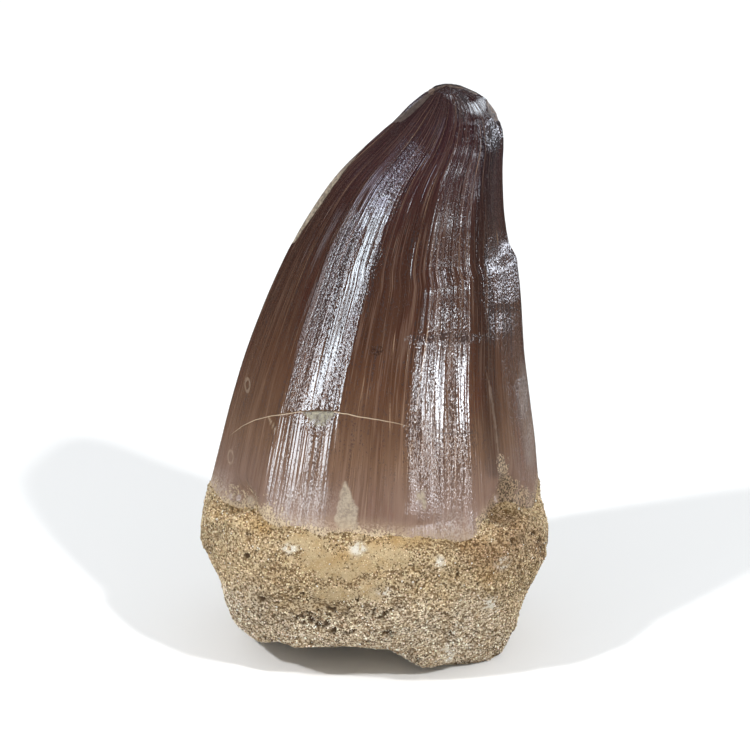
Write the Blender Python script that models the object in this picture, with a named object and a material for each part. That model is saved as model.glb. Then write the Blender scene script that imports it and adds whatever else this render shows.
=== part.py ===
"""Fossil mosasaur tooth: the enamelled crown, and the root end still wrapped in sandy matrix.

Metres, +Z up. The broad faceted face looks along -Y, and the two cutting edges (carinae) lie at
-X and +X. The tooth stands on a small flat spot under the matrix, and the origin is the middle of
its footprint box, on that surface. Run with: blender --background --python part.py
"""

import math

import bmesh
import bpy
import numpy as np
from mathutils import Vector, noise

MM = 0.001

# Crown: its margin is where the enamel meets the matrix, and its apex is worn blunt.
APEX = (7.0, 2.0, 60.3)
MARGIN_HEIGHT = 18.3
SEAT_RISE = 2.0  # how far the matrix domes up into the crown's hollow base
SEAT_RIM = 0.8  # the outer share of the seat, where it bends to follow the margin
SEAT_GAP = 0.3  # what separates the two solids
CROWN_STATIONS = (
    # height, left edge, right edge, front depth, back depth, and how far back the edges lie
    (15.5, -17.3, 17.0, 12.9, 14.0, 0.4),
    (23.7, -15.3, 16.1, 12.0, 13.0, 0.6),
    (31.5, -13.2, 15.1, 10.7, 11.5, 0.8),
    (39.2, -10.4, 14.5, 8.8, 9.5, 1.1),
    (46.8, -6.7, 13.5, 6.9, 7.5, 1.4),
    (51.7, -3.3, 12.9, 5.6, 6.1, 1.6),
    (56.5, 1.7, 12.2, 4.0, 4.3, 1.9),
    (58.9, 4.1, 10.8, 2.6, 2.8, 2.0),
    (60.0, 5.6, 8.6, 1.2, 1.3, 2.0),
)
FACETS = (
    # where each facet starts, in degrees from the right cutting edge, and how flat it is
    (0.0, 0.0),
    (5.0, 0.6),
    (24.0, 0.9),
    (46.0, 0.9),
    (66.0, 1.1),
    (88.0, 1.0),
    (110.0, 1.1),
    (131.0, 0.9),
    (153.0, 0.6),
    (175.0, 0.0),
    (180.0, 0.0),
    (185.0, 0.6),
    (224.0, 0.9),
    (236.0, 1.1),
    (253.0, 1.2),
    (280.0, 1.1),
    (306.0, 0.9),
    (319.0, 0.6),
    (355.0, 0.0),
)
FACET_STEP = 6.5  # degrees between the vertices across a facet
FACETS_FADE = (53.0, 58.5)  # heights over which the facets die out towards the apex
CARINA_HEIGHT = 0.35
CARINA_HALF_ANGLE = 5.0
EDGE_SCAR = (43.0, 44.0, 46.5, 57.0)  # heights where the scar on the right edge opens and closes
EDGE_SCAR_DEPTH = 0.65
EDGE_SCAR_SPREAD = (8.0, 40.0)  # degrees from the edge over which the scar dies out
APEX_FLAKE = ((10.4, 0.5, 58.6), (0.75, -0.35, 0.56))  # a point on the flake, and its outward side
CROWN_RINGS = 32
RINGS_TOWARDS_APEX = 1.35  # over 1 crowds the rings towards the apex

# Matrix: a lump a little wider than the crown, broken off obliquely underneath.
MATRIX_STATIONS = (
    # height, left side, right side, front depth, back depth, and how far back its middle lies
    (-0.8, -11.6, 13.0, 6.4, 10.6, 0.4),
    (0.8, -13.1, 13.8, 7.8, 11.8, 0.4),
    (3.6, -15.0, 15.0, 9.8, 13.0, 0.4),
    (6.3, -15.7, 15.4, 11.4, 13.9, 0.4),
    (9.1, -16.4, 16.5, 12.7, 14.7, 0.4),
    (12.2, -17.6, 17.6, 13.6, 15.2, 0.4),
    (15.2, -17.6, 17.1, 13.7, 15.0, 0.4),
    (18.2, -16.9, 16.9, 13.2, 14.4, 0.4),
)
MATRIX_SQUARENESS = 2.3  # 2 is an ellipse, and more is boxier
MATRIX_BLEND = 2.2  # height over which the matrix goes from the crown's outline to its own
MATRIX_WALL_RINGS = 11
CAP_RINGS = 5
FLOOR_MIDDLE = (0.0, 2.0)  # where the underside's rings close
BREAK_CONTACT = (1.4, -5.0)  # where the slanting break leaves the ground, at the left and right
BREAK_TURN = (-1.5, 6.0)  # between these the break steps from one to the other
BREAK_SLOPE = (0.42, 0.50)
TONGUES = (
    # sand that climbs the enamel: its angle, half its width in degrees, and how high it climbs
    (209.0, 19.0, 1.8),
    (327.0, 13.0, 3.9),
)
MARGIN_WAVES = ((1, 60.0, 0.35), (5, 0.0, 0.2))  # (how many round the crown, phase, height)
LUMPS = ((5.0, 0.55), (2.4, 0.30))  # (size, height) of the lumps on the matrix
LUMPS_FADE = 3.0  # height under the margin over which the lumps die out

ENAMEL = {"colour": (0.09, 0.045, 0.032, 1.0), "roughness": 0.32}
SANDSTONE = {"colour": (0.42, 0.29, 0.17, 1.0), "roughness": 0.92}


def eased(start, end, at):
    """0 before start, 1 after end, and smooth between them."""
    t = min(max((at - start) / (end - start), 0.0), 1.0)
    return t * t * (3 - 2 * t)


def curve_through(stations):
    """A function of height that runs smoothly through the stations' other columns."""
    table = np.array(stations)
    heights, values = table[:, 0], table[:, 1:]
    slopes = np.gradient(values, heights, axis=0)

    def at(height):
        i = int(np.clip(np.searchsorted(heights, height) - 1, 0, len(heights) - 2))
        span = heights[i + 1] - heights[i]
        t = min(max((height - heights[i]) / span, 0.0), 1.0)
        ends = (1 + 2 * t) * (1 - t) ** 2 * values[i] + t * t * (3 - 2 * t) * values[i + 1]
        return ends + span * t * (1 - t) * ((1 - t) * slopes[i] - t * slopes[i + 1])

    return at


crown_at = curve_through(CROWN_STATIONS)
matrix_at = curve_through(MATRIX_STATIONS)


def around():
    """The angles of the vertices round a ring, with one on every ridge between two facets."""
    starts = [start for start, _ in FACETS] + [360.0]
    angles = []
    for start, end in zip(starts, starts[1:]):
        steps = max(1, round((end - start) / FACET_STEP))
        angles += [start + (end - start) * i / steps for i in range(steps)]
    return angles


def oval(angle, sides, squareness=2.0):
    """A point of an outline whose left, right, front and back reach differ."""
    left, right, front, back, middle = sides
    c, s = math.cos(math.radians(angle)), math.sin(math.radians(angle))
    power = 2 / squareness
    x = (left + right) / 2 + (right - left) / 2 * math.copysign(abs(c) ** power, c)
    y = middle + (back if s > 0 else front) * math.copysign(abs(s) ** power, s)
    return Vector((x, y))


def carina(angle):
    """How far the cutting edge stands out at this angle, from 0 to 1."""
    off_edge = min(angle % 180, 180 - angle % 180)
    return 1 - eased(0, CARINA_HALF_ANGLE, off_edge)


def edge_scar(angle, height):
    """How deep the enamel is broken away along the upper right cutting edge."""
    opens, open_by, closes, closed_by = EDGE_SCAR
    along = eased(opens, open_by, height) * (1 - eased(closes, closed_by, height))
    off_edge = min(angle, 360 - angle)
    return EDGE_SCAR_DEPTH * along * (1 - eased(*EDGE_SCAR_SPREAD, off_edge))


def crown_outline(angle, height):
    """The crown's outline at a height: an oval with flat facets and two cutting edges."""
    sides = crown_at(height) + np.array([CARINA_HEIGHT, -CARINA_HEIGHT, 0, 0, 0])
    facet = max(i for i, (start, _) in enumerate(FACETS) if start <= angle)
    start, flatness = FACETS[facet]
    end = FACETS[facet + 1][0] if facet + 1 < len(FACETS) else 360.0
    share = (angle - start) / (end - start)
    chord = oval(start, sides).lerp(oval(end, sides), share)
    flatness *= 1 - eased(*FACETS_FADE, height)
    point = oval(angle, sides).lerp(chord, flatness)
    outward = Vector((math.cos(math.radians(angle)), math.sin(math.radians(angle))))
    return point + outward * (CARINA_HEIGHT * carina(angle) - edge_scar(angle, height))


def margin_height(angle):
    """The enamel's lower margin, which rises where a tongue of sand climbs the crown."""
    height = MARGIN_HEIGHT
    for middle, half_width, rise in TONGUES:
        height += rise * (1 - eased(0, half_width, abs(angle - middle)))
    for waves, phase, amplitude in MARGIN_WAVES:
        height += amplitude * math.cos(math.radians(waves * angle + phase))
    return height


def seat_ring(share, gap):
    """A ring of the seat between crown and matrix: share 1 is the margin, and 0 its middle."""
    middle = Vector((0.0, crown_at(MARGIN_HEIGHT)[4]))
    ring = []
    for angle in around():
        edge = crown_outline(angle, margin_height(angle))
        x, y = middle.lerp(edge, share)
        dome = MARGIN_HEIGHT + SEAT_RISE * (1 - share**2)
        at_edge = eased(SEAT_RIM, 1.0, share)
        ring.append(Vector((x, y, dome + (margin_height(angle) - MARGIN_HEIGHT) * at_edge + gap)))
    return ring


def seat_rings(gap):
    """The seat's rings from its middle out to the margin."""
    return [seat_ring(i / CAP_RINGS, gap) for i in range(1, CAP_RINGS + 1)]


def seat_middle(gap):
    return Vector((0.0, crown_at(MARGIN_HEIGHT)[4], MARGIN_HEIGHT + SEAT_RISE + gap))


def flaked(point, flake):
    """Presses a point that lies outside the flake's plane back onto it."""
    on_plane, outward = Vector(flake[0]), Vector(flake[1]).normalized()
    outside = (point - on_plane).dot(outward)
    return point - outward * max(outside, 0.0)


def crown_ring(share):
    """A ring of the crown's wall: share 0 is the margin, and 1 just under the apex."""
    top = CROWN_STATIONS[-1][0]
    ring = []
    for angle in around():
        bottom = margin_height(angle)
        height = bottom + (top - bottom) * share
        x, y = crown_outline(angle, height)
        ring.append(flaked(Vector((x, y, height + SEAT_GAP * (1 - share))), APEX_FLAKE))
    return ring


def break_height(x, y):
    """Height of the slanting break under the matrix, which is 0 or less where it rests."""
    turn = eased(*BREAK_TURN, x)
    contact = BREAK_CONTACT[0] + (BREAK_CONTACT[1] - BREAK_CONTACT[0]) * turn
    slope = BREAK_SLOPE[0] + (BREAK_SLOPE[1] - BREAK_SLOPE[0]) * turn
    return slope * (contact - y)


def above_break(point):
    """The point, lifted to the break where it would lie under it."""
    return Vector((point.x, point.y, max(point.z, break_height(point.x, point.y))))


def matrix_ring(share):
    """A ring of the matrix's wall: share 0 is the margin, and 1 its lower edge."""
    lowest = MATRIX_STATIONS[0][0]
    ring = []
    for angle in around():
        top = margin_height(angle)
        height = top + (lowest - top) * share
        own = oval(angle, matrix_at(height), MATRIX_SQUARENESS)
        crown = crown_outline(angle, max(height, MARGIN_HEIGHT))
        x, y = crown.lerp(own, eased(0, MATRIX_BLEND, top - height))
        ring.append(above_break(Vector((x, y, height))))
    return ring


def matrix_floor_ring(share):
    """A ring of the underside: share 1 is the wall's lower edge, and 0 its middle."""
    lowest = MATRIX_STATIONS[0]
    middle = Vector((*FLOOR_MIDDLE, lowest[0]))
    outline = [oval(angle, lowest[1:], MATRIX_SQUARENESS) for angle in around()]
    return [above_break(middle.lerp(Vector((x, y, lowest[0])), share)) for x, y in outline]


def lofted(rings, first_pole, last_pole):
    """A closed mesh through rings of one length, with a fan of triangles at each end."""
    bm = bmesh.new()
    loops = [[bm.verts.new(point * MM) for point in ring] for ring in rings]
    count = len(loops[0])
    following = [(i, (i + 1) % count) for i in range(count)]
    for lower, upper in zip(loops, loops[1:]):
        for i, j in following:
            bm.faces.new((lower[i], lower[j], upper[j], upper[i]))
    for loop, pole in ((loops[0], first_pole), (loops[-1], last_pole)):
        tip = bm.verts.new(pole * MM)
        for i, j in following:
            bm.faces.new((loop[i], loop[j], tip))
    bmesh.ops.recalc_face_normals(bm, faces=bm.faces)
    return bm


def roughen(bm, below):
    """Pushes the vertices under a height in and out along their normals, as lumps."""
    bm.normal_update()
    for vert in bm.verts:
        near_seat = eased(below - LUMPS_FADE, below, vert.co.z / MM)
        for size, height in LUMPS:
            lump = noise.noise(vert.co / (size * MM)) * height * MM
            vert.co += vert.normal * lump * (1 - near_seat)


def cut_flat(bm):
    """Cuts off what lies under the ground, which leaves the flat spot that the tooth stands on."""
    everything = bm.verts[:] + bm.edges[:] + bm.faces[:]
    cut = bmesh.ops.bisect_plane(
        bm, geom=everything, dist=1e-7, plane_co=(0, 0, 0), plane_no=(0, 0, 1), clear_inner=True
    )
    rim = [item for item in cut["geom_cut"] if isinstance(item, bmesh.types.BMEdge)]
    bmesh.ops.contextual_create(bm, geom=rim)
    bmesh.ops.recalc_face_normals(bm, faces=bm.faces)


def material(name, finish):
    made = bpy.data.materials.new(name)
    made.use_nodes = True
    made.diffuse_color = finish["colour"]
    shader = made.node_tree.nodes["Principled BSDF"]
    shader.inputs["Base Color"].default_value = finish["colour"]
    shader.inputs["Roughness"].default_value = finish["roughness"]
    shader.inputs["Metallic"].default_value = 0.0
    return made


def add_object(name, bm, finish, collection):
    mesh = bpy.data.meshes.new(name)
    bm.to_mesh(mesh)
    bm.free()
    mesh.shade_smooth()
    mesh.set_sharp_from_angle(angle=math.radians(35))
    mesh.materials.append(material(name, finish))
    made = bpy.data.objects.new(name, mesh)
    collection.objects.link(made)
    return made


def build_crown(collection):
    rings = seat_rings(SEAT_GAP)
    for i in range(1, CROWN_RINGS + 1):
        rings.append(crown_ring(1 - (1 - i / CROWN_RINGS) ** RINGS_TOWARDS_APEX))
    bm = lofted(rings, seat_middle(SEAT_GAP), Vector(APEX))
    return add_object("crown", bm, ENAMEL, collection)


def build_matrix(collection):
    rings = seat_rings(0.0)
    rings += [matrix_ring(i / MATRIX_WALL_RINGS) for i in range(1, MATRIX_WALL_RINGS + 1)]
    rings += [matrix_floor_ring(1 - i / CAP_RINGS) for i in range(1, CAP_RINGS)]
    bm = lofted(rings, seat_middle(0.0), matrix_floor_ring(0.0)[0])
    roughen(bm, below=MARGIN_HEIGHT)
    cut_flat(bm)
    return add_object("root_matrix", bm, SANDSTONE, collection)


def stand_on_origin(parts):
    """Moves the parts so that the middle of their footprint box is the origin."""
    points = [vert.co for part in parts for vert in part.data.vertices]
    low = Vector(min(p[axis] for p in points) for axis in range(3))
    high = Vector(max(p[axis] for p in points) for axis in range(3))
    for part in parts:
        part.location = (-(low.x + high.x) / 2, -(low.y + high.y) / 2, 0.0)


def main():
    for existing in list(bpy.data.objects):
        bpy.data.objects.remove(existing)
    collection = bpy.data.collections.new("fossil_mosasaur_tooth")
    bpy.context.scene.collection.children.link(collection)
    stand_on_origin([build_crown(collection), build_matrix(collection)])


main()
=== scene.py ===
"""Looks of the fossil mosasaur tooth: striated brown enamel, and sandy matrix made of real grains.

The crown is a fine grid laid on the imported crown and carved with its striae, crack, flake and chips.
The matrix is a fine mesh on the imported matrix, with sand grains scattered over it. Lengths here are
in millimetres until a mesh is made, and heights are above the surface that the tooth stands on.
"""

import math

import bmesh
import bpy
import numpy as np
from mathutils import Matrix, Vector
from mathutils.bvhtree import BVHTree
from mathutils.kdtree import KDTree


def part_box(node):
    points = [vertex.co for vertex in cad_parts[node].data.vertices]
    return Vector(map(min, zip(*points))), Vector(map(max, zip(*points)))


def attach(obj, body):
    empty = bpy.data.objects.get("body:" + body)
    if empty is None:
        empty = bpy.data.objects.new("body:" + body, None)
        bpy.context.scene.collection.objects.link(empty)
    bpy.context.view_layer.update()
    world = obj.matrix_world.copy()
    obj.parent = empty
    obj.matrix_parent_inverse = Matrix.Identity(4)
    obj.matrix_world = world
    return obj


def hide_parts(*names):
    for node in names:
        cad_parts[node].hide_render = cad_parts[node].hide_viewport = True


MM = 0.001
SEED = 61
TURN = 2 * math.pi

# The view: a long lens looks down at the tooth. Pixels are those of a 750 x 750 picture.
PICTURE = 750
SENSOR = 36.0
LENS = 168.0
VIEW_DISTANCE = 350.0
VIEW_DOWN = math.radians(24.0)
AIM = Vector((0.1, -1.1, 30.3))
PIXEL = 0.1  # the size of a pixel at the tooth
SCALE = LENS / SENSOR * PICTURE
AHEAD = np.array((0, math.cos(VIEW_DOWN), -math.sin(VIEW_DOWN)))
UP = np.array((0, math.sin(VIEW_DOWN), math.cos(VIEW_DOWN)))
CAMERA = AIM - Vector(AHEAD) * VIEW_DISTANCE

# The crown's grid: its rings lie closer along the crack, and also near the apex, where they have
# fewer points.
COLUMNS = 960
RING_STEP = 0.40
CRACK_STEP = 0.10
CRACK_REACH = 0.40
CRACK_BEND = 6.0  # the height over which rings bend to follow the crack
TIP_STEP = 0.45 * RING_STEP
RINGS_END = 0.35  # under the apex
BURIED_TO = 15.6
CARINA_LINE = ((18.0, -0.65), (60.0, 0.9))  # (height, y) of the cutting edges
MEASURED_FROM = 19.0  # under this the wall is carried on down from above
MEASURES_END = 0.25  # under the apex
MEASURE_STEP = 0.4
MEASURE_COLUMNS = 720
MARGIN_STEP = 0.1
SLOPE_ROWS = 8  # the measured rows whose slope carries the sides on down
WALL_SHARE = 0.6  # the wall lies further out than this share of the oval through the sides
FAR = 60  # where rays start
SMOOTH_ANGLE = 1.0  # degrees
SMOOTH_HEIGHT = 0.9
HALVED_AT = (49.0, 56.0, 59.0)  # heights at which a ring has half the points of the one below
UNROLLED_RADIUS = 16
CAP_V = 0.995  # where the last ring lies in the unwrapped picture

# Relief on the enamel, as (cells round the crown, cells up it, height).
FLUTES = (44, 3, 0.05)
STRIAE_WIDE = (104, 9, 0.009)
STRIAE_LOW = (290, 12, 0.007)
STRIAE_HIGH = (150, 12, 0.006)
STRIAE_CHANGE = (34.0, 50.0)
SWELLS = (9, 13, 0.035)
NOISE_TOP = 61.0
FLAKE_DEPTH, CHIP_DEPTH, STRIP_DEPTH, RIDGE_HEIGHT = 0.12, 0.10, 0.06, 0.015
TUCKED_IN = 0.5  # how far the enamel draws in under the sand
STRIAE_BUMP, GRAIN_BUMP, DOT_BUMP = 0.055, 0.060, 0.026

# Marks on the enamel, at pixels of the picture.
FRONT_REACH = 0.30  # the sine of the angle by which they reach past the cutting edges
CARINA_REACH = 0.5  # the angle round the left edge in which its strip lies
OUTSIDE = -9  # depth inside a mark where there can be none
BAND_EDGE = (0.6, 1.4)  # shares of a band's half width between which it fades
CRACK_PIXELS = (
    (228, 437), (234, 432), (242, 426), (255, 420), (271, 416), (299, 412), (335, 412), (347, 414),
    (358, 417), (379, 420), (396, 423), (420, 428), (437, 433), (458, 434), (475, 433), (500, 436),
)
CRACK_DEPTH = 0.07
CRACK_WIDTH = 0.07
# How much of the crack shows, and of its broken part, which is painted dark as shade, as (pixels across,
# share).
CRACK_SHOWS = ((228, 0.0), (240, 0.8), (250, 1.0), (345, 1.0), (385, 0.75), (405, 0.3), (412, 0.0))
BREAK_SHOWS = ((425, 0.0), (440, 1.0), (465, 1.0), (485, 0.0))
CRACK_BRANCH = ((268, 417), (272, 424), (275, 430))
FLAKE = ((302, 412), (318, 411), (333, 411.5), (334, 415), (328, 421), (321, 427), (312, 421))
# Ovals are (x, y, half width, half height), and the star is (x, y, radius).
SCARS = ((247, 385, 2.4, 6.5), (230, 457, 2.5, 6.5))
STAR = (378, 351, 8)
SMEARS = (
    (
        (345, 482), (351, 492), (356, 506), (360, 520), (356, 532), (340, 531), (333, 520), (337, 503),
        (341, 490),
    ),
    ((416, 490), (426, 489), (427, 499), (425, 511), (421, 502), (415, 499)),
    ((247, 498), (252, 492), (256, 499), (254, 507), (248, 505)),
)
EDGE_STRIP = (
    (434, 91), (424, 100), (412, 109), (400, 118), (386, 122), (373, 131), (351, 157), (331, 183),
    (310, 214), (291, 241),
)
EDGE_STRIP_WIDTH = 7.0
TIP_CHIPS = (
    ((486, 101), (492, 100), (499, 112), (501, 121), (495, 122), (489, 112)),
    ((452, 86), (466, 85), (480, 93), (477, 96), (464, 89), (453, 90)),
    ((426, 90), (433, 89), (434, 95), (428, 96)),
)
SAND_FILMS = (
    # (corners, depth inside them to which the sand grows denser)
    (((496, 452), (507, 450), (511, 470), (516, 486), (520, 500), (520, 545), (497, 545)), 9),
    (((508, 476), (522, 480), (534, 490), (546, 498), (546, 545), (508, 545)), 0.32),
    (((474, 516), (482, 509), (492, 506), (500, 500), (500, 545), (466, 548), (472, 530)), 9),
    (((198, 480), (216, 479), (240, 485), (262, 491), (282, 504), (292, 522), (292, 540), (196, 540)), 0.14),
    (((200, 494), (215, 493), (236, 500), (255, 501), (272, 506), (285, 520), (285, 540), (196, 540)), 9),
)
PITTED_BANDS = (
    # (pixels along it, half width in pixels, how much more of the enamel is pitted than elsewhere)
    (((409, 148), (392, 188), (380, 216)), 13, 0.6),
    (((366, 250), (348, 295), (333, 345), (318, 395), (313, 412)), 22, 0.9),
    (((311, 414), (307, 455), (304, 490)), 20, 0.35),
    (
        ((382, 205), (376, 225), (352, 290), (334, 340), (322, 375), (306, 410), (298, 450), (296, 480)),
        8, -0.8,
    ),
    (((352, 215), (326, 290), (308, 345), (294, 400)), 9, 0.6),
    (((450, 325), (448, 360), (448, 430), (455, 520)), 20, 0.55),
    (((501, 262), (501, 296)), 17, 1.2),
    (((500, 318), (501, 328)), 14, 1.2),
    (((526, 385), (529, 455)), 11, 1.0),
    (((456, 475), (458, 530)), 20, 0.6),
    (((414, 425), (419, 470), (421, 512)), 11, 0.8),
)
DOTTED_BANDS = (
    # (pixels along it, half width in pixels, how high the fine dots on the enamel are)
    (((409, 148), (392, 188), (380, 218)), 13, 0.9),
    (((470, 135), (461, 165), (455, 210), (451, 250), (448, 320)), 15, 1.0),
    (((448, 330), (448, 430), (452, 480)), 22, 0.35),
    (((502, 250), (504, 330)), 15, 1.1),
    (((510, 330), (524, 400), (528, 470)), 14, 0.9),
)
# The facet beside the right edge swells and dips: (pixels down, millimetres out).
UNDULATION = (
    (190, 0.0), (256, -0.36), (303, 0.0), (313, -0.10), (332, 0.04), (350, 0.0), (380, -0.05), (420, 0.10),
    (470, 0.0),
)
PITTED_PATCHES = (
    # (x, y, half width, half height, how much more of the enamel is pitted)
    (450, 338, 40, 5, 1.6), (440, 385, 5, 50, -1.0), (451, 385, 4, 55, 0.8), (462, 385, 6, 45, -0.6),
    (461, 106, 7, 14, 2.4), (494, 134, 10, 18, 1.7), (412, 380, 9, 60, 0.6),
)
PITTED_ELSEWHERE = -0.8
SHADED_BAND_WIDTH = 8
SHADED_BAND = ((489, 140), (484, 200), (481, 260), (484, 330), (489, 400), (494, 470))
# Pale patches on the enamel, partly dust and partly painted sheen where the enamel sparkles with highlights,
# as (x, y, half width, half height).
DUST_AND_SHEEN = ((458, 526, 22, 16), (213, 487, 18, 16), (302, 503, 28, 17), (524, 392, 4, 26), (530, 440, 5, 26))
RIDGE_HALF_WIDTH = 0.9
RIDGE_LINE = ((485, 366), (490, 388), (495, 424), (499, 462), (502, 475))

# Enamel colours, linear, by height.
ENAMEL = (
    (17.5, (0.268, 0.173, 0.132)),
    (20.5, (0.215, 0.136, 0.102)),
    (23.0, (0.182, 0.112, 0.080)),
    (25.5, (0.158, 0.090, 0.056)),
    (28.5, (0.120, 0.064, 0.038)),
    (33.0, (0.088, 0.041, 0.023)),
    (38.0, (0.060, 0.027, 0.016)),
    (47.0, (0.041, 0.017, 0.012)),
    (53.0, (0.033, 0.012, 0.013)),
    (57.0, (0.024, 0.008, 0.010)),
    (60.0, (0.020, 0.007, 0.009)),
)

CRACK_SAND = (0.50, 0.38, 0.25)
ENAMEL_IOR = 1.55

# The matrix, whose upper edge in front lies along these pixels.
MARGIN_PIXELS = (
    (196, 499), (215, 500), (225, 504), (235, 507), (255, 509), (265, 511), (272, 515), (280, 524),
    (286, 530), (320, 532), (360, 535), (400, 538), (430, 541), (460, 544), (474, 543), (479, 532),
    (483, 520), (490, 511), (500, 504), (515, 505), (530, 510), (545, 518),
)
VOXEL = 0.21
LUMPS = ((3.2, 0.14), (1.3, 0.11), (0.6, 0.05))  # (size, height)
INSET = 0.10
PIT_DEPTH = 0.26
SMOOTH_RISE = 0.10
FLAT_AT = 0.02  # height of the flat spot underneath
SEAT_GAP = 0.4  # how far the sand stays inside the enamel on the seat
BOX_GAP, GRAIN_BOX_GAP = 0.01, 0.005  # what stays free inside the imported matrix's box
SKIN_PROUD = 0.07  # how far the sand stands out of the enamel at its upper edge
MARGIN_RAGGED = ((40, 0.22), (130, 0.18))  # (cells round, height)
MARGIN_LIFT = 0.05

GRAIN_SPACING = 0.22
GRAIN_SIZE = (0.085, 0.148)
GRAIN_LENGTHS = (0.7, 1.25)  # how much shorter or longer a grain's corners reach
GRAIN_SHADES = (0.40, 1.72)
GRAIN_WARMTH = (0.88, 1.0, 1.22)  # powers of the shade in red, green and blue
GRAINS_PER_PIECE = 20000
PIT_SIZE = 0.55
PIT_EDGE = (0.24, 0.40)  # distances from the middle of a placed pit between which it ends
TAN = (0.488, 0.380, 0.232)
YELLOW = (0.409, 0.309, 0.174)
ORANGE = (0.400, 0.266, 0.116)
GREY = (0.680, 0.585, 0.445)
PALE = (0.660, 0.640, 0.575)
BROWN = (0.300, 0.182, 0.095)
# The dark grains' colour, which is also painted into the pits as shade.
DARK = (0.075, 0.042, 0.018)

# Patches of the sand, as (x, y, half width, half height) in pixels.
SMOOTH_PATCHES = (
    (308, 541, 22, 7), (345, 566, 34, 14), (372, 553, 22, 12), (392, 558, 20, 10), (335, 594, 22, 7),
    (318, 560, 22, 12), (408, 541, 30, 6), (452, 536, 14, 5), (372, 590, 14, 10),
)
ORANGE_PATCHES = (
    (410, 540, 42, 9), (340, 557, 10, 9), (486, 572, 12, 11), (232, 510, 20, 10), (270, 525, 22, 9),
    (475, 550, 20, 8),
)
BROWN_PATCHES = ((512, 526, 18, 34), (492, 556, 26, 16), (540, 545, 10, 16))
GREY_PATCHES = ((400, 640, 70, 40), (470, 640, 40, 40), (310, 635, 60, 22), (232, 622, 40, 34))
PALE_SPOTS = (
    (358, 549, 8, 6), (290, 549, 8, 5), (440, 563, 5, 6), (384, 592, 7, 5), (463, 532, 14, 6),
    (503, 563, 7, 6), (490, 605, 7, 7), (448, 655, 7, 9), (225, 513, 4, 4),
)
LIGHT_PATCHES = ((226, 512, 34, 16), (232, 560, 20, 30))
PIT_CLUSTER = (
    (296, 619), (303, 624), (311, 621), (318, 627), (327, 624), (334, 631), (540, 540), (535, 533),
    (544, 547), (247, 556), (262, 600),
)

# The studio.
DOME_TINT = (0.965, 1.0, 1.02)
LIT_DOME = ((-1.0, 0.3), (0.0, 0.2), (0.4, 0.47), (1.0, 0.74))  # (height of the direction, radiance)
REFLECTED_DOME = ((-1.0, 0.15), (-0.2, 0.10), (0.0, 0.05), (0.35, 0.05), (0.6, 0.10), (1.0, 0.15))
KEYS = (("key_left", -54, 46, 650), ("key_right", 43, 44, 670))  # azimuth, elevation, radiance
KEY_SIZE = (55, 55)
KEY_DISTANCE = 1000
STRIPS = (
    # azimuth, elevation, width and height in degrees, radiance, colour
    (-40, 12, 11, 22, 26, (0.78, 0.90, 1.0)),
    (-41, 28, 12, 12, 18, (0.72, 0.79, 1.0)),
    (-60, 36, 20, 6, 4, (0.70, 0.74, 1.0)),
    (-52, -1.5, 20, 12, 18, (0.82, 0.91, 1.0)),
    (-53, 9, 15, 10, 6, (0.86, 0.91, 1.0)),
    (-72, 16, 14, 12, 4.5, (0.84, 0.88, 1.0)),
    (38, -3.3, 11, 8.2, 36, (0.84, 0.92, 1.0)),
    (38, -17, 20, 16, 7.5, (0.90, 0.93, 1.0)),
    (47, 6, 4, 6, 27, (0.84, 0.90, 1.0)),
    (58, 25, 14, 9, 9, (0.84, 0.91, 1.0)),
    (112, 34, 36, 15, 24, (0.84, 0.92, 1.0)),
    (119, -4, 30, 9, 17, (0.83, 0.89, 1.0)),
)
STRIP_DISTANCE = 900
FLOOR_RADIUS = 3000
FLOOR_DROP = 0.1
FLOOR_COLOUR = (0.88, 0.88, 0.88)


# ---- helpers


def smoothed(t):
    """A share from 0 to 1, levelled off at both ends."""
    return t * t * (3 - 2 * t)


def eased(start, end, at):
    """0 before start, 1 after end, and smooth between them."""
    return smoothed(np.clip((at - start) / (end - start), 0.0, 1.0))


def sampled(grid, angle, row, blend=lambda t: t):
    """Values between the points of a grid whose columns close round the angle."""
    count = grid.shape[1]
    column = (angle / TURN % 1.0) * count
    i, j = np.floor(column).astype(int), np.floor(row).astype(int)
    fx, fy = blend(column - i), blend(row - j)
    i, i2 = i % count, (i + 1) % count
    low = grid[j, i] * (1 - fx) + grid[j, i2] * fx
    high = grid[j + 1, i] * (1 - fx) + grid[j + 1, i2] * fx
    return low * (1 - fy) + high * fy


def ring_noise(seed, angle, height, cells_round, cells_up=1):
    """Smooth noise between -1 and 1 over an angle, where it closes, and a height."""
    knots = np.random.default_rng(seed).uniform(-1, 1, (cells_up + 2, cells_round))
    share = np.clip((height - BURIED_TO) / (NOISE_TOP - BURIED_TO), 0, 1)
    return sampled(knots, angle, share * cells_up, smoothed)


class SpaceNoise:
    """Smooth noise between -1 and 1 through space, with lumps of about a size in millimetres."""

    SIDE = 24

    def __init__(self, seed, size):
        self.size = size
        self.knots = np.random.default_rng(seed).uniform(-1, 1, (self.SIDE,) * 3)

    def __call__(self, points):
        at = np.asarray(points) / self.size + 1000.0
        i = np.floor(at).astype(int)
        f = smoothed(at - i)
        total = np.zeros(at.shape[:-1])
        for step in np.ndindex(2, 2, 2):
            weight = np.prod(np.where(step, f, 1 - f), axis=-1)
            x, y, z = ((i[..., k] + step[k]) % self.SIDE for k in range(3))
            total += weight * self.knots[x, y, z]
        return total


def through_pixel(x, y):
    """The direction from the camera through a pixel."""
    across, down = (x - PICTURE / 2) / SCALE, (y - PICTURE / 2) / SCALE
    return (Vector(AHEAD) + Vector((1, 0, 0)) * across - Vector(UP) * down).normalized()


def pixels_of(points):
    """The pixels at which points are seen, as x and y."""
    away = np.asarray(points) - np.array(CAMERA)
    scale = SCALE / (away @ AHEAD)
    return PICTURE / 2 + away[..., 0] * scale, PICTURE / 2 - (away @ UP) * scale


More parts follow.
